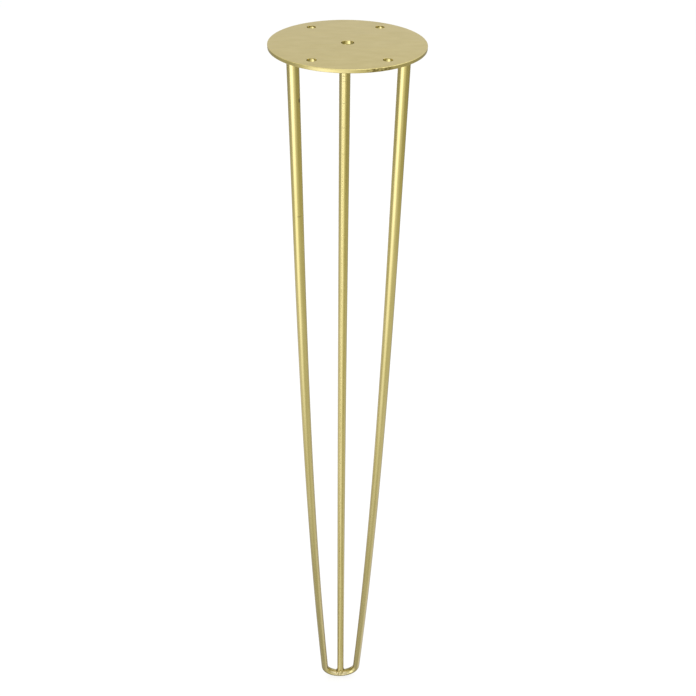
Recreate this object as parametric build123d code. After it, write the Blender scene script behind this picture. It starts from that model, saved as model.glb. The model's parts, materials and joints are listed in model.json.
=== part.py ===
"""Tripod table leg: a round screw plate, a bent hairpin bar and a rear rod, welded together.

Millimetres. The origin is the centre of the plate's upper face, which meets the table. +Z is up, so the
foot is at -Z. The hairpin's two legs stand in front (-Y) and the rear rod behind (+Y).
"""

from build123d import *
from math import asin, atan2, cos, hypot, radians, sin, sqrt
import os

# Overall
leg_height = 711.0

# Mounting plate
plate_diameter = 91.0
plate_thickness = 2.0
plate_edge_bevel = 0.3
screw_hole_diameter = 5.5
screw_spacing_x = 41.0
screw_spacing_y = 60.0
centre_hole_diameter = 7.5

# Rods: their centres start a third of a turn apart, an inset in from the plate's edge
rod_diameter = 7.2
rod_inset = 9.8
rod_spacing_angle = 120.0
straight_length = 120.0
foot_bend_radius = 18.0

# Joint of the rear rod and the hairpin's bend
cope_tip_trim = 1.0

# Welds: a leg is how far a weld reaches along each of the two pieces that it joins
plate_weld_leg = 2.2
plate_weld_bulge = 0.4
foot_weld_leg = 2.0
foot_weld_front = 1.0

# Places that follow from the sizes above
rod_radius = rod_diameter / 2
rod_circle_radius = plate_diameter / 2 - rod_inset
front_leg_x = rod_circle_radius * sin(radians(rod_spacing_angle))
front_leg_y = rod_circle_radius * cos(radians(rod_spacing_angle))
underside_z = -plate_thickness
foot_axis_z = rod_radius - leg_height
axis_drop = underside_z - foot_axis_z
underside = Plane.XY.offset(underside_z)
trim_stock = rod_diameter

# The hairpin is flat, and leans so that its legs start in front of the axis and its bend ends on it.
hairpin_lean = atan2(-front_leg_y, axis_drop)
hairpin_height = hypot(front_leg_y, axis_drop)


def upright_plane(origin, lean):
    """A plane seen from the front, with X across and Y up along a rod that leans forward."""
    return Plane(origin=origin, x_dir=(1, 0, 0), z_dir=(0, -cos(lean), -sin(lean)))


def swept_rod(path):
    """A round rod along a path."""
    section = Plane(origin=path @ 0, z_dir=path % 0) * Circle(rod_radius)
    return sweep(section, path=path)


def below_plate(solid):
    """The solid with what is above the plate's underside cut off, flush with the plate."""
    return split(solid, bisect_by=underside, keep=Keep.BOTTOM)


def make_top_plate():
    """A flat disc with its sharp rim broken, four screw holes on a rectangle and a centre hole."""
    disc = Cylinder(plate_diameter / 2, plate_thickness, align=(Align.CENTER, Align.CENTER, Align.MAX))
    disc = chamfer(disc.edges().filter_by(GeomType.CIRCLE), plate_edge_bevel)
    drill_length = 3 * plate_thickness
    centre_drill = Cylinder(centre_hole_diameter / 2, drill_length)
    screw_drill = Cylinder(screw_hole_diameter / 2, drill_length)
    return disc - centre_drill - GridLocations(screw_spacing_x, screw_spacing_y, 2, 2) * screw_drill


def make_front_hairpin():
    """One bar: straight legs that sweep gently inward and close in a half-circle bend, the foot."""
    sweep_top = hairpin_height - straight_length
    sweep_drop = sweep_top - foot_bend_radius
    # The sweep is tangent to the straight above it and to the bend below it.
    sweep_travel = front_leg_x - foot_bend_radius
    sweep_radius = (sweep_drop**2 + front_leg_x**2 - foot_bend_radius**2) / (2 * sweep_travel)
    sweep_angle = asin(sweep_drop / (sweep_radius - foot_bend_radius))

    leg_top = Vector(front_leg_x, hairpin_height + trim_stock)
    sweep_start = Vector(front_leg_x, sweep_top)
    bend_start = Vector(foot_bend_radius * cos(sweep_angle), foot_bend_radius * (1 - sin(sweep_angle)))
    bend_end = Vector(-bend_start.X, bend_start.Y)

    right_leg = Line(leg_top, sweep_start) + TangentArc(sweep_start, bend_start, tangent=(0, -1))
    left_leg = mirror(right_leg, about=Plane.YZ)
    bend = ThreePointArc(bend_start, (0, 0), bend_end)
    outline = upright_plane((0, 0, foot_axis_z), hairpin_lean) * (right_leg + bend + left_leg)
    return below_plate(swept_rod(Wire(outline.edges())))


def rear_rod_sweep():
    """The radius of the rear rod's sweep, and its angle where its centre line meets the bend's."""
    drop = axis_drop - straight_length
    radius = (drop**2 + rod_circle_radius**2) / (2 * rod_circle_radius)
    return radius, asin(drop / radius)


def make_rear_rod(front_hairpin):
    """A bar that sweeps forward to the axis, its end coped to sit on the hairpin's bend."""
    radius, full_angle = rear_rod_sweep()
    end_angle = full_angle - cope_tip_trim / radius
    sweep_top = underside_z - straight_length
    rod_top = Vector(rod_circle_radius, underside_z + trim_stock)
    sweep_start = Vector(rod_circle_radius, sweep_top)
    sweep_end = Vector(rod_circle_radius - radius * (1 - cos(end_angle)), sweep_top - radius * sin(end_angle))
    outline = Plane.YZ * (Line(rod_top, sweep_start) + TangentArc(sweep_start, sweep_end, tangent=(0, -1)))
    return below_plate(swept_rod(Wire(outline.edges()))) - front_hairpin


def make_plate_weld(rod_top, lean):
    """A bulging weld in the corner between a rod and the plate's underside."""
    leg = plate_weld_leg
    middle = leg / 2 + plate_weld_bulge / sqrt(2)
    on_plate = Vector(rod_radius + leg, 0)
    on_rod = Vector(rod_radius, -leg)
    bulge = Vector(rod_radius + middle, -middle)
    # It is made a little tall, because a rod that leans meets the plate askew.
    above_plate = Vector(on_plate.X, leg)
    above_corner = Vector(rod_radius, leg)
    section = make_face(Polyline(above_corner, above_plate, on_plate, bulge, on_rod, close=True))
    corner = upright_plane(rod_top, lean)
    return below_plate(revolve(corner * section, axis=Axis(rod_top, corner.y_dir)))


def make_foot_weld(front_hairpin, rear_rod):
    """A weld round the back of the cope, from one side of the rear rod to the other."""
    lean_back = rear_rod_sweep()[1]
    joint = Plane(origin=(0, 0, foot_axis_z), x_dir=(1, 0, 0), z_dir=(0, sin(lean_back), cos(lean_back)))
    throat = foot_weld_leg / sqrt(2)
    reach = rod_radius + foot_weld_leg
    # Two equal round bars that cross meet in an ellipse that slopes at 45 degrees, and the weld covers it.
    slope = Plane(origin=(0, 0, 0), x_dir=(1, 0, 1), z_dir=(-1, 0, 1))
    cover = extrude(slope * Ellipse(sqrt(2) * rod_radius + throat, rod_radius + throat), reach, both=True)
    side = Box(reach, foot_weld_front + reach, reach, align=Align.MIN)
    right_weld = joint * (cover & Pos(0, -foot_weld_front, 0) * side) - front_hairpin - rear_rod
    return right_weld + mirror(right_weld, about=Plane.YZ)


front_hairpin = make_front_hairpin()
rear_rod = make_rear_rod(front_hairpin)
parts = {
    "top_plate": make_top_plate(),
    "front_hairpin": front_hairpin,
    "rear_rod": rear_rod,
    "foot_weld": make_foot_weld(front_hairpin, rear_rod),
    "plate_weld_left": make_plate_weld((-front_leg_x, front_leg_y, underside_z), hairpin_lean),
    "plate_weld_right": make_plate_weld((front_leg_x, front_leg_y, underside_z), hairpin_lean),
    "plate_weld_rear": make_plate_weld((0, rod_circle_radius, underside_z), 0),
}

os.makedirs("parts", exist_ok=True)
for node, solid in parts.items():
    export_step(solid, f"parts/{node}.step")
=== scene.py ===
"""Looks of a tripod table leg in satin brass: a brushed round plate, two drawn bars and their welds.

Metres, in the frame of the CAD model: the origin is the centre of the plate's upper face, +Z is up, and the
hairpin's legs stand in front, at -Y.
"""

import json
from math import asin, atan2, cos, hypot, pi, radians, sin, sqrt, tau

import bmesh
import bpy
from mathutils import Matrix, Vector


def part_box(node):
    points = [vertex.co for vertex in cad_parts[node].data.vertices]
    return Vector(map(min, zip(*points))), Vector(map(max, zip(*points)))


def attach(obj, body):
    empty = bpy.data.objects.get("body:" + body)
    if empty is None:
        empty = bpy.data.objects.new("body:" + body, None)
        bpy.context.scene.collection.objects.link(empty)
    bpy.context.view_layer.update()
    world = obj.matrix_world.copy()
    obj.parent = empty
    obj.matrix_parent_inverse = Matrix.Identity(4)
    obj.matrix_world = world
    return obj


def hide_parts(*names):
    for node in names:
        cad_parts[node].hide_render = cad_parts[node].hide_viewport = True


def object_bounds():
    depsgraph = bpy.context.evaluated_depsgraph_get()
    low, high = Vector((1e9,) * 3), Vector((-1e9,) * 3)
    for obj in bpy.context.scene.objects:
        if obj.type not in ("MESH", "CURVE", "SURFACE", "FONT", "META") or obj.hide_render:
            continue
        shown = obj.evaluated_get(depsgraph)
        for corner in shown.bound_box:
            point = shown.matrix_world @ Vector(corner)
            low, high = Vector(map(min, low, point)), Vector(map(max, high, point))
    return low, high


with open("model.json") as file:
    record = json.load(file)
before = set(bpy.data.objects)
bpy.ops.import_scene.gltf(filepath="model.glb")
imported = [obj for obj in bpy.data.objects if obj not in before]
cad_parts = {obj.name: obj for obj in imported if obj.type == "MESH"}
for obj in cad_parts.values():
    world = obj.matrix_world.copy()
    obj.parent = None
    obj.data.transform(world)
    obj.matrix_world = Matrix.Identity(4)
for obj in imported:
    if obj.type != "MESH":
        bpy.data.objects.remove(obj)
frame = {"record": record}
cad_low, cad_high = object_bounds()

MM = 0.001

# Sizes read from the frame
plate_low, plate_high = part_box("top_plate")
plate_radius = plate_high.x
underside_z = plate_low.z
floor_z = cad_low.z
rear_rod_low, rear_rod_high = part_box("rear_rod")
rod_radius = (rear_rod_high.x - rear_rod_low.x) / 2
rear_weld_low, rear_weld_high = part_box("plate_weld_rear")
rod_circle_radius = (rear_weld_low.y + rear_weld_high.y) / 2
plate_weld_reach = (rear_weld_high.x - rear_weld_low.x) / 2 - rod_radius
mounts = {mount["name"]: mount["dims"] for mount in frame["record"]["mounts"]}
screw_hole_radius = mounts["screw_holes"]["hole_r_mm"] * MM
screw_spacing_x = mounts["screw_holes"]["spacing_x_mm"] * MM
screw_spacing_y = mounts["screw_holes"]["spacing_y_mm"] * MM
centre_hole_radius = mounts["centre_hole"]["r_mm"] * MM

# Sizes of the bars that the frame doesn't name, the same as in the CAD model
straight_length = 120 * MM
foot_bend_radius = 18 * MM
rod_spacing_angle = radians(120)

# Sizes of the looks. The middle of a bead under the plate stands off from its bar.
rim_round = 0.3 * MM
hole_round = 0.1 * MM
coped_length = 9 * MM
foot_weld_radius = 1.5 * MM
foot_weld_half_turn = radians(100)
weld_standoff = 0.3 * MM
weld_ripple_pitch = 1.7 * MM
weld_ripple_height = 0.16 * MM
thinnest_weld = 0.2 * MM

# A bead of weld keeps its thickness nearly to its ends, and is darkened towards them as painted shade.
bead_end_bluntness = 8
bead_end_shade = 2

# Edges that turn by more than this are rounded on the plate, as quarter circles, and shaded sharp on a bar.
plate_corner_angle = radians(60)
round_profile = 0.5
bar_end_angle = radians(50)

# Fineness of the meshes
sides_round_rod = 56
sides_round_weld = 14
steps_a_ripple = 8
steps_foot_weld = 64
steps_straight = 12
steps_sweep = 64
steps_bend = 28
plate_rim_sides = 224
hole_sides = 56
rim_round_steps = 4
hole_round_steps = 2
drop_subdivisions = 3

# Rings at the rear bar's coped end: shares of the way up from the cope, and shares of the radius on its end
# face. The dark seam reaches up to one of the first shares.
cope_lifts = (0.85, 0.7, 0.55, 0.4, 0.25, 0.12, 0.04, 0.0)
cope_shrinks = (0.8, 0.6, 0.4, 0.2)
seam_top_lift = 0.25

# Places of the bars
front_leg_x = rod_circle_radius * sin(rod_spacing_angle)
front_leg_y = rod_circle_radius * cos(rod_spacing_angle)
foot_axis_z = floor_z + rod_radius
foot_axis = Vector((0, 0, foot_axis_z))
axis_drop = underside_z - foot_axis_z
hairpin_lean = atan2(-front_leg_y, axis_drop)
hairpin_height = hypot(front_leg_y, axis_drop)
hairpin_front = Vector((0, -cos(hairpin_lean), -sin(hairpin_lean)))
hairpin_up = Vector((0, -sin(hairpin_lean), cos(hairpin_lean)))

# The hairpin's sweep, tangent to its straight above and to its bend below
sweep_top = hairpin_height - straight_length
sweep_drop = sweep_top - foot_bend_radius
sweep_travel = front_leg_x - foot_bend_radius
sweep_radius = (sweep_drop**2 + front_leg_x**2 - foot_bend_radius**2) / (2 * sweep_travel)
sweep_angle = asin(sweep_drop / (sweep_radius - foot_bend_radius))
bend_run = straight_length + sweep_radius * sweep_angle
foot_run = bend_run + foot_bend_radius * (pi / 2 - sweep_angle)

# The rear bar's sweep, from its straight to where its centre line meets the bend's
rear_drop = axis_drop - straight_length
rear_radius = (rear_drop**2 + rod_circle_radius**2) / (2 * rod_circle_radius)
rear_angle = asin(rear_drop / rear_radius)
rear_run = straight_length + rear_radius * rear_angle
rear_up = Vector((0, sin(rear_angle), cos(rear_angle)))
rear_back = Vector((0, cos(rear_angle), -sin(rear_angle)))

# Marks on the bars, which are dark, and patches of painted light, which are pale and dull. Round the foot
# some marks are painted shade. Each has its distance along from the plate, its turn in degrees from the
# bar's front, its half length along, its half width round, and its strength. The turn goes to the inner side
# of the hairpin, and to the right on the rear bar. Lengths are in millimetres.
foot_along = foot_run / MM
rear_end_along = rear_run / MM
# A pale, dull patch over the bend's upper front, and one at the front of the rear bar's lower end: painted
# light
hairpin_painted_light = ((foot_along - 3.0, 60, 15.0, 3.6, 1.0),)
rear_painted_light = ((rear_end_along - 2.5, 0, 2.0, 2.5, 0.4),)
hairpin_marks_and_shade = (
    (24.0, 56, 1.3, 0.5, 1.0),
    (98.3, 10, 0.5, 1.5, 0.3),
    (483.0, -70, 1.0, 0.6, 0.7),
    (534.0, -72, 1.2, 0.5, 0.7),
    (576.0, -70, 0.8, 0.6, 0.6),
    (foot_along + 19.5, 30, 0.9, 0.9, 0.5),
    # The rest are painted shade round the foot: in the crevices beside the rear bar, along the bend's lower
    # front, right of its middle and along its inner side.
    (foot_along + 4.4, 110, 1.2, 1.2, 0.9),
    (foot_along - 3.1, 35, 0.9, 0.9, 0.6),
    (foot_along, -15, 15.0, 1.7, 0.4),
    (foot_along + 8.5, 22, 5.0, 1.8, 0.35),
    (foot_along + 12.0, 122, 8.0, 1.9, 0.5),
    (foot_along - 10.0, 130, 7.0, 1.7, 0.3),
)
rear_marks = (
    (28.0, -12, 0.25, 1.0, 0.45),
    (31.2, -8, 0.2, 1.2, 0.4),
    (45.2, -14, 0.25, 1.0, 0.45),
    (61.5, -10, 0.2, 1.3, 0.4),
    (79.7, -12, 0.25, 1.0, 0.35),
    (556.0, 2, 0.5, 0.5, 0.5),
)

# Drops of weld by the bend, in millimetres: across, a turn in degrees from its front up to its inner side,
# how far the middle is from the bend's surface, and the radius
weld_drops = ((0.0, 70, 5.0, 1.4), (9.6, 52, -0.45, 0.9), (-5.5, 58, -0.4, 0.8))

# A rough stretch of the rim: where it starts, is full, starts to fade and ends, in degrees from the front to
# the right
rough_rim_angles = (10, 12, 26, 32)

# The camera stands in front and above, and looks down along the leg.
camera_place = Vector((-18.64, -437.35, 130.86)) * MM
camera_turn = radians(2.823)
camera_dip = radians(38.906)
camera_tilt = radians(-0.894)
camera_lens_mm = 38.585
camera_sensor_mm = 36.0


def linear(hex_colour):
    """An sRGB hex colour as linear red, green, blue and alpha."""
    channels = [int(hex_colour[i:i + 2], 16) / 255 for i in (1, 3, 5)]
    return [c / 12.92 if c <= 0.04045 else ((c + 0.055) / 1.055) ** 2.4 for c in channels] + [1.0]


def add_node(tree, kind, inputs=None, stops=(), **settings):
    """Adds a node. Settings are its properties, and each input is a value or a socket to link from.

    Stops are the positions and colours of a colour ramp, from low to high.
    """
    node = tree.nodes.new(kind)
    for name, value in settings.items():
        setattr(node, name, value)
    for name, value in (inputs or {}).items():
        if isinstance(value, bpy.types.NodeSocket):
            tree.links.new(value, node.inputs[name])
        else:
            node.inputs[name].default_value = value
    if stops:
        elements = node.color_ramp.elements
        elements.remove(elements[1])
        for i, (position, colour) in enumerate(stops):
            stop = elements.new(position) if i else elements[0]
            stop.position = position
            stop.color = colour
    return node


def new_material(name):
    """An empty node material, its tree and its output node."""
    material = bpy.data.materials.new(name)
    material.use_nodes = True
    material.node_tree.nodes.clear()
    return material, material.node_tree, material.node_tree.nodes.new("ShaderNodeOutputMaterial")


# Brass plating, bright but not polished. At a glancing angle it reflects a little less than an ideal metal.
brass_light = "#C2B576"
brass_deep = "#B6A966"
brass_grazing = "#F1EEF6"
# Pale painted light on the bars
brass_painted_light = "#CABD86"
brass_tarnish = "#6E5F2E"
# Bare steel where the plating is chipped, in the seam, and as painted shade
bare_steel_and_shade = "#2E2A22"

# Sizes of the grain in the finishes, in millimetres along each axis. On a bar the last axis runs along it.
bar_line_grain = (0.6, 0.6, 60)
bar_tone_grain = (2.4, 2.4, 70)
plate_streak_grain = (30, 0.6, 2)
plate_mottle_grain = (12, 5, 12)
rim_grit_grain = (1.6, 1.6, 1.0)
weld_grit_grain = (0.8, 0.8, 0.8)

# How low and how high a noise goes before its finish changes no more. A narrow range gives harder edges.
line_range = (0.3, 0.7)
mottle_range = (0.2, 0.8)
rim_grit_range = (0.42, 0.58)
weld_grit_range = (0.25, 0.5)

# Roughness, with two values where it goes from smoother to duller lines
bar_roughness = (0.21, 0.31)
painted_light_roughness = 0.36
plate_roughness = (0.28, 0.38)
rim_roughness = 0.38
bore_roughness = 0.14
weld_roughness = 0.3

# Depth of the relief, and how much of it shows
line_depth = 0.01 * MM
bar_line_relief = 0.6
plate_streak_relief = 0.4
weld_grit_depth = 0.05 * MM
weld_grit_relief = 0.3

# How far the pits in the rough rim and the walls of the holes go towards the tarnished colour
rim_pit_tarnish = 0.85
bore_tarnish = 0.22

# Marks and patches of painted light and shade: the grain of their ragged edge, how far it shifts them, and
# where
# # in shares of their size they fade
mark_edge_grain = 0.7 * MM
mark_edge_shift = 0.5 * MM
mark_fade_start = 0.7
mark_fade_end = 1.2


def grain_pattern(tree, place, sizes, detail):
    """A pattern of soft grains, which have a size along each axis, in millimetres."""
    scale = [1 / (size * MM) for size in sizes]
    scaled = add_node(tree, "ShaderNodeMapping", {"Vector": place, "Scale": scale}).outputs["Vector"]
    noise = add_node(tree, "ShaderNodeTexNoise", {"Vector": scaled, "Scale": 1.0, "Detail": detail})
    return noise.outputs["Fac"]


def mark_and_painted_light_mask(tree, place, marks_and_painted_light):
    """The strength of a bar's marks and patches of painted light and shade where they are, ragged, and 0
    elsewhere.
    """
    ragged = add_node(
        tree, "ShaderNodeTexNoise", {"Vector": place, "Scale": 1 / mark_edge_grain, "Detail": 2.0}
    )
    shifted = add_node(
        tree,
        "ShaderNodeVectorMath",
        {0: ragged.outputs["Color"], 1: (mark_edge_shift,) * 3, 2: place},
        operation="MULTIPLY_ADD",
    )
    mask = None
    for along, turn, half_length, half_width, strength in marks_and_painted_light:
        centre = Vector((rod_radius * cos(radians(turn)), rod_radius * sin(radians(turn)), along * MM))
        # The noise is about a half on average, and the centre takes up the shift that this gives.
        centre += Vector((0.5, 0.5, 0.5)) * mark_edge_shift
        offset = add_node(
            tree, "ShaderNodeVectorMath", {0: shifted.outputs["Vector"], 1: centre}, operation="SUBTRACT"
        )
        size = Vector((half_width, half_width, half_length)) * MM
        shares = add_node(
            tree, "ShaderNodeVectorMath", {0: offset.outputs["Vector"], 1: size}, operation="DIVIDE"
        )
        reach = add_node(tree, "ShaderNodeVectorMath", {0: shares.outputs["Vector"]}, operation="LENGTH")
        spot = add_node(
            tree,
            "ShaderNodeMapRange",
            {
                "Value": reach.outputs["Value"],
                "From Min": mark_fade_start,
                "From Max": mark_fade_end,
                "To Min": strength,
                "To Max": 0.0,
            },
        )
        strongest = spot.outputs["Result"]
        if mask is not None:
            both = add_node(tree, "ShaderNodeMath", {0: mask, 1: strongest}, operation="MAXIMUM")
            strongest = both.outputs["Value"]
        mask = strongest
    return mask


def make_bar_brass(name, marks_and_painted_light, painted_light_patches):
    """Brass-plated steel bar, drawn and satin finished: soft gloss, fine lines along it, a few dark marks.

    At the foot it is paler and duller in patches, the paleness being painted light, and some dark marks
    there are painted shade. Real drawing lines are finer than a tenth of a millimetre. They are drawn
    coarser here so that they show.
    """
    material, tree, output = new_material(name)
    place = add_node(tree, "ShaderNodeAttribute", attribute_name="straightened").outputs["Vector"]
    lines = grain_pattern(tree, place, bar_line_grain, detail=3.0)
    tone = grain_pattern(tree, place, bar_tone_grain, detail=3.0)
    drawn = add_node(
        tree,
        "ShaderNodeValToRGB",
        {"Fac": tone},
        [(line_range[0], linear(brass_deep)), (line_range[1], linear(brass_light))],
    )
    # Pale, dull patches of painted light
    painted_light_mask = mark_and_painted_light_mask(tree, place, painted_light_patches)
    plating = add_node(
        tree,
        "ShaderNodeMix",
        {"Factor": painted_light_mask, "A": drawn.outputs["Color"], "B": linear(brass_painted_light)},
        data_type="RGBA",
    )
    # Dark: the marks, of which some at the foot are painted shade, and the seam at the coped end
    seam = add_node(tree, "ShaderNodeAttribute", attribute_name="seam")
    dark = add_node(
        tree,
        "ShaderNodeMath",
        {0: mark_and_painted_light_mask(tree, place, marks_and_painted_light), 1: seam.outputs["Fac"]},
        operation="MAXIMUM",
    )
    colour = add_node(
        tree,
        "ShaderNodeMix",
        {"Factor": dark.outputs["Value"], "A": plating.outputs["Result"], "B": linear(bare_steel_and_shade)},
        data_type="RGBA",
    )
    satin = add_node(
        tree,
        "ShaderNodeMapRange",
        {
            "Value": lines,
            "From Min": line_range[0],
            "From Max": line_range[1],
            "To Min": bar_roughness[0],
            "To Max": bar_roughness[1],
        },
    )
    roughness = add_node(
        tree,
        "ShaderNodeMapRange",
        {"Value": painted_light_mask, "To Min": satin.outputs["Result"], "To Max": painted_light_roughness},
    )
    bump = add_node(
        tree, "ShaderNodeBump", {"Height": lines, "Distance": line_depth, "Strength": bar_line_relief}
    )
    surface = add_node(
        tree,
        "ShaderNodeBsdfPrincipled",
        {
            "Base Color": colour.outputs["Result"],
            "Roughness": roughness.outputs["Result"],
            "Normal": bump.outputs["Normal"],
            "Metallic": 1.0,
            "Specular Tint": linear(brass_grazing),
        },
    )
    tree.links.new(surface.outputs["BSDF"], output.inputs["Surface"])
    return material


def make_plate_brass():
    """Brass-plated steel sheet, brushed across: faint streaks on a satin face, a rim rough in one place.

    Real brush lines are finer than a tenth of a millimetre. They are drawn coarser here so that they show.
    """
    material, tree, output = new_material("brushed_brass_plated_sheet")
    place = add_node(tree, "ShaderNodeTexCoord").outputs["Object"]
    streaks = grain_pattern(tree, place, plate_streak_grain, detail=4.0)
    mottle = grain_pattern(tree, place, plate_mottle_grain, detail=5.0)
    plating = add_node(
        tree,
        "ShaderNodeValToRGB",
        {"Fac": mottle},
        [(mottle_range[0], linear(brass_deep)), (mottle_range[1], linear(brass_light))],
    )
    grit = grain_pattern(tree, place, rim_grit_grain, detail=2.0)
    cut = add_node(tree, "ShaderNodeAttribute", attribute_name="rough_rim")
    pits = add_node(
        tree,
        "ShaderNodeMapRange",
        {
            "Value": grit,
            "From Min": rim_grit_range[0],
            "From Max": rim_grit_range[1],
            "To Min": 0.0,
            "To Max": rim_pit_tarnish,
        },
    )
    rough = add_node(
        tree, "ShaderNodeMath", {0: pits.outputs["Result"], 1: cut.outputs["Fac"]}, operation="MULTIPLY"
    )
    # The walls of the holes are a little darker than the face.
    bore = add_node(tree, "ShaderNodeAttribute", attribute_name="bore")
    dark = add_node(
        tree,
        "ShaderNodeMath",
        {0: bore.outputs["Fac"], 1: bore_tarnish, 2: rough.outputs["Value"]},
        operation="MULTIPLY_ADD",
    )
    colour = add_node(
        tree,
        "ShaderNodeMix",
        {"Factor": dark.outputs["Value"], "A": plating.outputs["Color"], "B": linear(brass_tarnish)},
        data_type="RGBA",
    )
    brushed = add_node(
        tree,
        "ShaderNodeMapRange",
        {
            "Value": streaks,
            "From Min": line_range[0],
            "From Max": line_range[1],
            "To Min": plate_roughness[0],
            "To Max": plate_roughness[1],
        },
    )
    # The rim is as dull as the dullest streaks of the face, and the walls of the holes are smoother.
    rim = add_node(tree, "ShaderNodeAttribute", attribute_name="rim")
    sheared = add_node(
        tree,
        "ShaderNodeMapRange",
        {"Value": rim.outputs["Fac"], "To Min": brushed.outputs["Result"], "To Max": rim_roughness},
    )
    roughness = add_node(
        tree,
        "ShaderNodeMapRange",
        {"Value": bore.outputs["Fac"], "To Min": sheared.outputs["Result"], "To Max": bore_roughness},
    )
    bump = add_node(
        tree, "ShaderNodeBump", {"Height": streaks, "Distance": line_depth, "Strength": plate_streak_relief}
    )
    surface = add_node(
        tree,
        "ShaderNodeBsdfPrincipled",
        {
            "Base Color": colour.outputs["Result"],
            "Roughness": roughness.outputs["Result"],
            "Normal": bump.outputs["Normal"],
            "Metallic": 1.0,
            "Specular Tint": linear(brass_grazing),
        },
    )
    tree.links.new(surface.outputs["BSDF"], output.inputs["Surface"])
    return material


def make_weld_brass():
    """Weld bead under the same plating: grainy, darker than the bars in places, with painted shade towards
    its ends.
    """
    material, tree, output = new_material("brass_plated_weld")
    place = add_node(tree, "ShaderNodeTexCoord").outputs["Object"]
    grit = grain_pattern(tree, place, weld_grit_grain, detail=4.0)
    plating = add_node(
        tree,
        "ShaderNodeValToRGB",
        {"Fac": grit},
        [(weld_grit_range[0], linear(brass_tarnish)), (weld_grit_range[1], linear(brass_light))],
    )
    # Painted shade towards the ends of an open bead, in the crevices beside the rear bar
    end_shade = add_node(tree, "ShaderNodeAttribute", attribute_name="end_shade")
    colour = add_node(
        tree,
        "ShaderNodeMix",
        {"Factor": end_shade.outputs["Fac"], "A": plating.outputs["Color"], "B": linear(bare_steel_and_shade)},
        data_type="RGBA",
    )
    bump = add_node(
        tree, "ShaderNodeBump", {"Height": grit, "Distance": weld_grit_depth, "Strength": weld_grit_relief}
    )
    surface = add_node(
        tree,
        "ShaderNodeBsdfPrincipled",
        {
            "Base Color": colour.outputs["Result"],
            "Normal": bump.outputs["Normal"],
            "Metallic": 1.0,
            "Specular Tint": linear(brass_grazing),
            "Roughness": weld_roughness,
        },
    )
    tree.links.new(surface.outputs["BSDF"], output.inputs["Surface"])
    return material


def add_piece(name, bm, material, node):
    """A smooth piece of the leg, in the place of a CAD node."""
    bmesh.ops.recalc_face_normals(bm, faces=bm.faces)
    mesh = bpy.data.meshes.new(name)
    bm.to_mesh(mesh)
    bm.free()
    mesh.shade_smooth()
    mesh.materials.append(material)
    piece = bpy.data.objects.new(name, mesh)
    bpy.context.scene.collection.objects.link(piece)
    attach(piece, "root")
    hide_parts(node)
    return piece


def even_steps(start, end, count):
    """Evenly spaced values from start to end, without the end."""
    return [start + (end - start) * i / count for i in range(count)]


# Bars: a bar point is its place, its place on the straightened bar, and how dark a seam makes it.


def bar_ring(place, direction, front, run):
    """A ring of bar points round a centre line, from its front on to its right when it goes down."""
    side = front.cross(direction)
    ring = []
    for turn in even_steps(0, tau, sides_round_rod):
        straightened = Vector((rod_radius * cos(turn), rod_radius * sin(turn), run))
        ring.append((place + straightened.x * front + straightened.y * side, straightened, 0.0))
    return ring


def cut_flush(ring, direction):
    """The ring slid along the bar until it lies flat under the plate."""
    return [
        (place + direction * ((underside_z - place.z) / direction.z), straightened, seam)
        for place, straightened, seam in ring
    ]


def bar_mesh(rings):
    """A closed tube through rings of bar points."""
    bm = bmesh.new()
    straightened_layer = bm.verts.layers.float_vector.new("straightened")
    seam_layer = bm.verts.layers.float.new("seam")
    rows = []
    for ring in rings:
        row = []
        for place, straightened, seam in ring:
            vert = bm.verts.new(place)
            vert[straightened_layer] = straightened
            vert[seam_layer] = seam
            row.append(vert)
        rows.append(row)
    for row, next_row in zip(rows, rows[1:]):
        for i in range(sides_round_rod):
            j = (i + 1) % sides_round_rod
            bm.faces.new((row[i], row[j], next_row[j], next_row[i]))
    for row in (rows[0], rows[-1]):
        middle = bm.verts.new(sum((vert.co for vert in row), Vector()) / sides_round_rod)
        for i in range(sides_round_rod):
            bm.faces.new((row[i], row[(i + 1) % sides_round_rod], middle))
    return bm


def add_bar(name, rings, material, node):
    """A bar, smooth along its length and sharp round its ends."""
    piece = add_piece(name, bar_mesh(rings), material, node)
    piece.data.set_sharp_from_angle(angle=bar_end_angle)


def make_hairpin(material):
    """The front bar: a rod bent into a long narrow U, down the left leg, round the bend and up the right."""
    # The left leg in the hairpin's own plane: across, up, the angle of travel from down, the distance along
    left_leg = []
    for run in even_steps(0, straight_length, steps_straight):
        left_leg.append((-front_leg_x, hairpin_height - run, 0.0, run))
    for angle in even_steps(0, sweep_angle, steps_sweep):
        across = sweep_radius * (1 - cos(angle)) - front_leg_x
        up = sweep_top - sweep_radius * sin(angle)
        left_leg.append((across, up, angle, straight_length + sweep_radius * angle))
    for angle in even_steps(sweep_angle, pi / 2, steps_bend):
        run = bend_run + foot_bend_radius * (angle - sweep_angle)
        left_leg.append((-foot_bend_radius * cos(angle), foot_bend_radius * (1 - sin(angle)), angle, run))
    foot = (0.0, 0.0, pi / 2, foot_run)
    right_leg = [
        (-across, up, pi - angle, 2 * foot_run - run) for across, up, angle, run in reversed(left_leg)
    ]

    across_dir = Vector((1, 0, 0))
    rings = []
    for across, up, angle, run in left_leg + [foot] + right_leg:
        place = foot_axis + across_dir * across + hairpin_up * up
        direction = across_dir * sin(angle) - hairpin_up * cos(angle)
        rings.append(bar_ring(place, direction, hairpin_front, run))
    for end in (0, -1):
        rings[end] = cut_flush(rings[end], hairpin_up)
    add_bar("hairpin_bar", rings, material, "front_hairpin")


def bend_height(across, depth):
    """How high the bend's upper surface is above the foot's axis, seen along the rear bar."""
    crown = sqrt(max(rod_radius**2 - depth**2, 0))
    return foot_bend_radius - sqrt((foot_bend_radius - crown) ** 2 - across**2)


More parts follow.
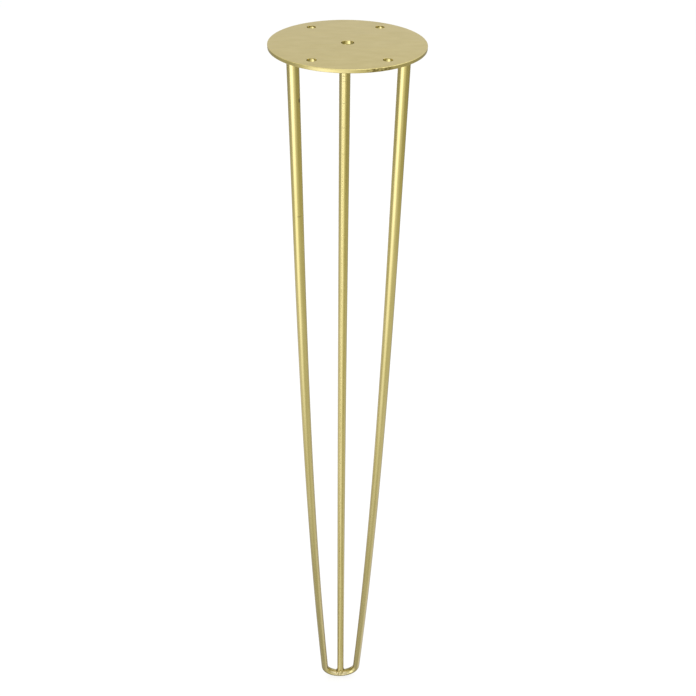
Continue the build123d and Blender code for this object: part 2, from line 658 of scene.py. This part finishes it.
def coped_ring(shrink, lift):
    """A ring near the rear bar's end: on the bend at lift 0, and inside the end face where it is shrunk."""
    ring = []
    for turn in even_steps(0, tau, sides_round_rod):
        depth = rod_radius * cos(turn) * shrink
        across = rod_radius * sin(turn) * shrink
        cope = bend_height(across, depth)
        height = cope + (coped_length - cope) * lift
        straightened = Vector((depth, across, rear_run - height))
        # The seam is open at both sides and closes towards the front and the back.
        seam = max(0.0, 1 - lift / seam_top_lift) * sin(turn) ** 2
        place = foot_axis + Vector((across, 0, 0)) - depth * rear_back + height * rear_up
        ring.append((place, straightened, seam))
    return ring


def make_rear_bar(material):
    """The rear bar, its lower end coped to the round of the bend."""
    rings = []
    for run in even_steps(0, straight_length, steps_straight):
        place = Vector((0, rod_circle_radius, underside_z - run))
        rings.append(bar_ring(place, Vector((0, 0, -1)), Vector((0, -1, 0)), run))
    for angle in even_steps(0, rear_angle - (coped_length + rod_radius) / rear_radius, steps_sweep):
        forward = rear_radius * (1 - cos(angle))
        drop = straight_length + rear_radius * sin(angle)
        place = Vector((0, rod_circle_radius - forward, underside_z - drop))
        direction = Vector((0, -sin(angle), -cos(angle)))
        front = Vector((0, -cos(angle), sin(angle)))
        rings.append(bar_ring(place, direction, front, straight_length + rear_radius * angle))
    rings += [coped_ring(1.0, lift) for lift in cope_lifts]
    rings += [coped_ring(shrink, 0.0) for shrink in cope_shrinks]
    add_bar("rear_bar", rings, material, "rear_rod")


def between(value, rise_start, rise_end, fall_start, fall_end):
    """0 outside a range, 1 inside it, and a straight slope at each end."""
    rise = (value - rise_start) / (rise_end - rise_start)
    fall = (fall_end - value) / (fall_end - fall_start)
    return max(0.0, min(1.0, rise, fall))


def make_plate(material):
    """The round plate with its five holes, every edge softly rounded."""
    bm = bmesh.new()
    circles = [(0, 0, plate_radius, plate_rim_sides), (0, 0, centre_hole_radius, hole_sides)]
    for x in (-screw_spacing_x / 2, screw_spacing_x / 2):
        for y in (-screw_spacing_y / 2, screw_spacing_y / 2):
            circles.append((x, y, screw_hole_radius, hole_sides))
    for x, y, radius, sides in circles:
        ring = []
        for turn in even_steps(0, tau, sides):
            ring.append(bm.verts.new((x + radius * cos(turn), y + radius * sin(turn), plate_high.z)))
        for i in range(sides):
            bm.edges.new((ring[i], ring[(i + 1) % sides]))
    bmesh.ops.triangle_fill(bm, use_beauty=True, edges=bm.edges[:])
    lower = bmesh.ops.extrude_face_region(bm, geom=bm.faces[:])["geom"]
    lower_verts = [part for part in lower if isinstance(part, bmesh.types.BMVert)]
    bmesh.ops.translate(bm, verts=lower_verts, vec=(0, 0, underside_z - plate_high.z))
    bmesh.ops.recalc_face_normals(bm, faces=bm.faces)

    corners = [edge for edge in bm.edges if edge.calc_face_angle(0) > plate_corner_angle]
    rim = [edge for edge in corners if edge.verts[0].co.xy.length > plate_radius - rim_round]
    holes = [edge for edge in corners if edge not in rim]
    for edges, offset, steps in ((holes, hole_round, hole_round_steps), (rim, rim_round, rim_round_steps)):
        bmesh.ops.bevel(
            bm,
            geom=edges,
            offset=offset,
            offset_type="OFFSET",
            segments=steps,
            profile=round_profile,
            affect="EDGES",
        )
    rim_layer = bm.verts.layers.float.new("rim")
    rough_layer = bm.verts.layers.float.new("rough_rim")
    bore_layer = bm.verts.layers.float.new("bore")
    rough_range = [radians(angle) for angle in rough_rim_angles]
    for vert in bm.verts:
        if vert.co.xy.length > plate_radius - rim_round / 2:
            vert[rim_layer] = 1.0
            vert[rough_layer] = between(atan2(vert.co.x, -vert.co.y), *rough_range)
        for x, y, radius, _ in circles[1:]:
            if hypot(vert.co.x - x, vert.co.y - y) < radius + hole_round / 2:
                vert[bore_layer] = 1.0
    piece = add_piece("brushed_plate", bm, material, "top_plate")
    piece.modifiers.new("flat_faces_stay_flat", "WEIGHTED_NORMAL")


# Welds


def add_bead(bm, corners, radius, closed):
    """A rippled bead of weld along a line of corner points, darkened towards its ends where it has any, as
    painted shade.
    """
    end_shade_layer = bm.verts.layers.float["end_shade"]
    count = len(corners)
    length = sum((end - start).length for start, end in zip(corners, corners[1:]))
    rows = []
    run = 0.0
    for i, corner in enumerate(corners):
        before = corners[i - 1] if closed or i else corner
        after = corners[(i + 1) % count] if closed or i < count - 1 else corner
        if i:
            run += (corner - before).length
        direction = (after - before).normalized()
        side = direction.cross(Vector((0, 0, 1))).normalized()
        upward = side.cross(direction)
        # From -1 at the bead's start to 1 at its end
        share = 0.0 if closed else 2 * run / length - 1
        ripple = weld_ripple_height * (1 - abs(sin(pi * run / weld_ripple_pitch)))
        size = max(radius * sqrt(max(0.0, 1 - share**bead_end_bluntness)) - ripple, thinnest_weld)
        row = []
        for turn in even_steps(0, tau, sides_round_weld):
            place = corner + size * (cos(turn) * side + sin(turn) * upward)
            place.z = min(place.z, underside_z)
            vert = bm.verts.new(place)
            vert[end_shade_layer] = min(1.0, bead_end_shade * share**2)
            row.append(vert)
        rows.append(row)
    pairs = list(zip(rows, rows[1:])) + ([(rows[-1], rows[0])] if closed else [])
    for row, next_row in pairs:
        for k in range(sides_round_weld):
            j = (k + 1) % sides_round_weld
            bm.faces.new((row[k], row[j], next_row[j], next_row[k]))
    if not closed:
        bm.faces.new(rows[0])
        bm.faces.new(rows[-1])


def weld_bmesh():
    """An empty mesh for weld, with a layer for its painted shade."""
    bm = bmesh.new()
    bm.verts.layers.float.new("end_shade")
    return bm


def make_plate_weld(name, node, x, y, material):
    """The ring of weld round a bar, under the plate."""
    ring_radius = rod_radius + weld_standoff
    steps = steps_a_ripple * round(tau * ring_radius / weld_ripple_pitch)
    corners = []
    for turn in even_steps(0, tau, steps):
        corners.append(Vector((x + ring_radius * cos(turn), y + ring_radius * sin(turn), underside_z)))
    bm = weld_bmesh()
    add_bead(bm, corners, plate_weld_reach - weld_standoff, True)
    add_piece(name, bm, material, node)


def make_foot_weld(material):
    """The bead round the back of the rear bar, where it sits on the bend, and small drops in front of it."""
    bm = weld_bmesh()
    corners = []
    for turn in even_steps(-foot_weld_half_turn, foot_weld_half_turn, steps_foot_weld):
        across = rod_radius * sin(turn)
        depth = rod_radius * cos(turn)
        height = bend_height(across, depth)
        corners.append(foot_axis + Vector((across, 0, 0)) + depth * rear_back + height * rear_up)
    # The bead's darkened ends are painted shade in the crevices beside the rear bar.
    add_bead(bm, corners, foot_weld_radius, False)
    for across, turn, lift, radius in weld_drops:
        bend_turn = asin(across * MM / foot_bend_radius)
        inward = hairpin_up * cos(bend_turn) - Vector((sin(bend_turn), 0, 0))
        centre = foot_axis + foot_bend_radius * (hairpin_up - inward)
        outward = hairpin_front * cos(radians(turn)) + inward * sin(radians(turn))
        seat = Matrix.Translation(centre + (rod_radius + lift * MM) * outward)
        bmesh.ops.create_icosphere(bm, subdivisions=drop_subdivisions, radius=radius * MM, matrix=seat)
    add_piece("foot_weld_bead", bm, material, "foot_weld")


plate_brass = make_plate_brass()
weld_brass = make_weld_brass()
make_plate(plate_brass)
make_hairpin(make_bar_brass("satin_brass_plated_hairpin", hairpin_marks_and_shade, hairpin_painted_light))
make_rear_bar(make_bar_brass("satin_brass_plated_rear_bar", rear_marks, rear_painted_light))
make_plate_weld("weld_bead_left", "plate_weld_left", -front_leg_x, front_leg_y, weld_brass)
make_plate_weld("weld_bead_right", "plate_weld_right", front_leg_x, front_leg_y, weld_brass)
make_plate_weld("weld_bead_rear", "plate_weld_rear", 0, rod_circle_radius, weld_brass)
make_foot_weld(weld_brass)

# Studio: a white floor and surround, and a soft light above
floor_white = "#FCFCFC"
floor_glow_share = 0.75
floor_size = 40.0
softbox_place = Vector((0.3, 0.2, 1.6))
softbox_size = 2.4
softbox_radiance = 1.3

# What the metal shows of the studio, from low to high: an angle from the horizon, a strength and a tint.
# The light is soft all round, with a tall bright strip in front, to the left, and a weaker one behind.
# Straight below it is dark.
plain_white = "#FFFFFF"
faint_cool_white = "#EFEFFF"
cool_white = "#E3E5FF"
warm_white = "#FFFBD7"
back_light = (
    (-85, 0.3, plain_white),
    (-60, 0.5, plain_white),
    (-10, 0.5, plain_white),
    (0, 1.0, plain_white),
)
left_light = (
    (-85, 0.3, plain_white),
    (-72, 0.5, plain_white),
    (-64, 0.58, plain_white),
    (-56, 0.68, plain_white),
    (-48, 1.05, plain_white),
    (-40, 1.25, faint_cool_white),
    (-32, 1.0, plain_white),
    (-24, 0.72, plain_white),
    (-20, 0.52, plain_white),
    (-10, 0.52, plain_white),
    (0, 1.0, plain_white),
)
right_light = (
    (-85, 0.3, plain_white),
    (-72, 0.9, plain_white),
    (-64, 1.3, faint_cool_white),
    (-52, 1.2, faint_cool_white),
    (-44, 0.97, plain_white),
    (-36, 0.92, plain_white),
    (-28, 0.79, warm_white),
    (-20, 0.48, warm_white),
    (-12, 0.5, plain_white),
    (0, 1.2, faint_cool_white),
    (20, 1.8, cool_white),
    (45, 2.3, cool_white),
)
front_light = (
    (-85, 0.3, plain_white),
    (-72, 0.55, plain_white),
    (-64, 0.68, plain_white),
    (-52, 0.78, plain_white),
    (-44, 0.9, plain_white),
    (-36, 1.05, plain_white),
    (-28, 1.1, plain_white),
    (-18, 1.4, plain_white),
    (-8, 0.9, plain_white),
    (0, 0.8, plain_white),
    (20, 1.8, cool_white),
    (45, 2.3, cool_white),
)
strip_light = (
    (-85, 0.3, plain_white),
    (-72, 0.5, plain_white),
    (-64, 0.58, plain_white),
    (-56, 0.75, plain_white),
    (-52, 1.0, plain_white),
    (-48, 1.45, cool_white),
    (-44, 2.15, cool_white),
    (-40, 2.7, cool_white),
    (-32, 3.1, cool_white),
    (-22, 3.9, cool_white),
    (-14, 3.9, cool_white),
    (-5, 1.6, cool_white),
    (0, 1.0, cool_white),
    (15, 1.7, cool_white),
)
back_strip_light = (
    (-85, 0.3, plain_white),
    (-64, 1.0, plain_white),
    (-40, 1.6, plain_white),
    (-20, 2.6, plain_white),
    (-8, 2.2, plain_white),
    (2, 1.0, plain_white),
)
strongest_light = 4.0

# Where the other lights cover back_light, in degrees: the azimuth of a light's middle, from the front to the
# right, and how far to each side of there it is full and ends. A later light covers an earlier one.
light_places = (
    (right_light, 60, 45, 90),
    (left_light, -90, 45, 75),
    (front_light, 5, 6, 42),
    (strip_light, -32, 6, 38),
    (back_strip_light, 180, 6, 22),
)


def light_stops(light):
    """A light's ramp over the height of a direction, as shares of the strongest light."""
    stops = []
    for angle, strength, tint in light:
        position = (sin(radians(angle)) + 1) / 2
        colour = [channel * strength / strongest_light for channel in linear(tint)[:3]] + [1.0]
        stops.append((position, colour))
    return stops


def make_world():
    """A white surround, which shows in the metal as a soft studio with two bright strips."""
    world = bpy.data.worlds.new("white_surround")
    bpy.context.scene.world = world
    world.use_nodes = True
    tree = world.node_tree
    tree.nodes.clear()
    output = tree.nodes.new("ShaderNodeOutputWorld")
    direction = add_node(tree, "ShaderNodeTexCoord").outputs["Generated"]
    up = add_node(tree, "ShaderNodeSeparateXYZ", {"Vector": direction}).outputs["Z"]
    height = add_node(tree, "ShaderNodeMapRange", {"Value": up, "From Min": -1.0, "From Max": 1.0})
    level = add_node(tree, "ShaderNodeVectorMath", {0: direction, 1: (1, 1, 0)}, operation="MULTIPLY")
    heading = add_node(tree, "ShaderNodeVectorMath", {0: level.outputs["Vector"]}, operation="NORMALIZE")

    by_height = {"Fac": height.outputs["Result"]}
    studio = add_node(tree, "ShaderNodeValToRGB", by_height, light_stops(back_light)).outputs["Color"]
    for light, middle, full, end in light_places:
        towards = (sin(radians(middle)), -cos(radians(middle)), 0)
        nearness = add_node(
            tree, "ShaderNodeVectorMath", {0: heading.outputs["Vector"], 1: towards}, operation="DOT_PRODUCT"
        )
        share = add_node(
            tree,
            "ShaderNodeMapRange",
            {
                "Value": nearness.outputs["Value"],
                "From Min": cos(radians(end)),
                "From Max": cos(radians(full)),
            },
        )
        side = add_node(tree, "ShaderNodeValToRGB", by_height, light_stops(light))
        mix = add_node(
            tree,
            "ShaderNodeMix",
            {"Factor": share.outputs["Result"], "A": studio, "B": side.outputs["Color"]},
            data_type="RGBA",
        )
        studio = mix.outputs["Result"]

    path = add_node(tree, "ShaderNodeLightPath")
    colour = add_node(
        tree,
        "ShaderNodeMix",
        {"Factor": path.outputs["Is Glossy Ray"], "A": linear(plain_white), "B": studio},
        data_type="RGBA",
    )
    strength = add_node(
        tree,
        "ShaderNodeMapRange",
        {"Value": path.outputs["Is Glossy Ray"], "To Min": 1.0, "To Max": strongest_light},
    )
    light = add_node(
        tree,
        "ShaderNodeBackground",
        {"Color": colour.outputs["Result"], "Strength": strength.outputs["Result"]},
    )
    tree.links.new(light.outputs["Background"], output.inputs["Surface"])


def make_floor():
    """A white floor that keeps the leg's soft shadow. The metal shows the studio in its place."""
    material, tree, output = new_material("white_floor")
    paper = add_node(tree, "ShaderNodeBsdfDiffuse", {"Color": linear(floor_white)})
    glow = add_node(tree, "ShaderNodeEmission", {"Strength": 1.0})
    path = add_node(tree, "ShaderNodeLightPath")
    share = add_node(
        tree,
        "ShaderNodeMapRange",
        {"Value": path.outputs["Is Camera Ray"], "To Min": 0.0, "To Max": floor_glow_share},
    )
    mix = add_node(
        tree,
        "ShaderNodeMixShader",
        {"Fac": share.outputs["Result"], 1: paper.outputs["BSDF"], 2: glow.outputs["Emission"]},
    )
    tree.links.new(mix.outputs["Shader"], output.inputs["Surface"])
    half = floor_size / 2
    corners = [(x, y, floor_z) for x, y in ((-half, -half), (half, -half), (half, half), (-half, half))]
    mesh = bpy.data.meshes.new("floor")
    mesh.from_pydata(corners, [], [(0, 1, 2, 3)])
    mesh.materials.append(material)
    floor = bpy.data.objects.new("floor", mesh)
    floor.visible_glossy = False
    bpy.context.scene.collection.objects.link(floor)


def make_softbox():
    """A square soft light above, which looks down at the foot."""
    lamp = bpy.data.lights.new("top_softbox", "AREA")
    lamp.size = softbox_size
    lamp.energy = softbox_radiance * pi * softbox_size**2
    softbox = bpy.data.objects.new("top_softbox", lamp)
    softbox.location = softbox_place
    softbox.rotation_euler = (foot_axis - softbox_place).to_track_quat("-Z", "Y").to_euler()
    softbox.visible_camera = False
    bpy.context.scene.collection.objects.link(softbox)


def make_camera():
    """The camera, from its place and its three turns."""
    forward = Vector(
        (sin(camera_turn) * cos(camera_dip), cos(camera_turn) * cos(camera_dip), -sin(camera_dip))
    )
    level_right = Vector((cos(camera_turn), -sin(camera_turn), 0))
    level_down = forward.cross(level_right)
    right = cos(camera_tilt) * level_right + sin(camera_tilt) * level_down
    down = cos(camera_tilt) * level_down - sin(camera_tilt) * level_right
    lens = bpy.data.cameras.new("camera")
    lens.lens = camera_lens_mm
    lens.sensor_width = camera_sensor_mm
    camera = bpy.data.objects.new("camera", lens)
    turn = Matrix((right, -down, -forward)).transposed().to_4x4()
    camera.matrix_world = Matrix.Translation(camera_place) @ turn
    bpy.context.scene.collection.objects.link(camera)
    bpy.context.scene.camera = camera


make_world()
make_floor()
make_softbox()
make_camera()
bpy.context.scene.view_settings.view_transform = "Standard"
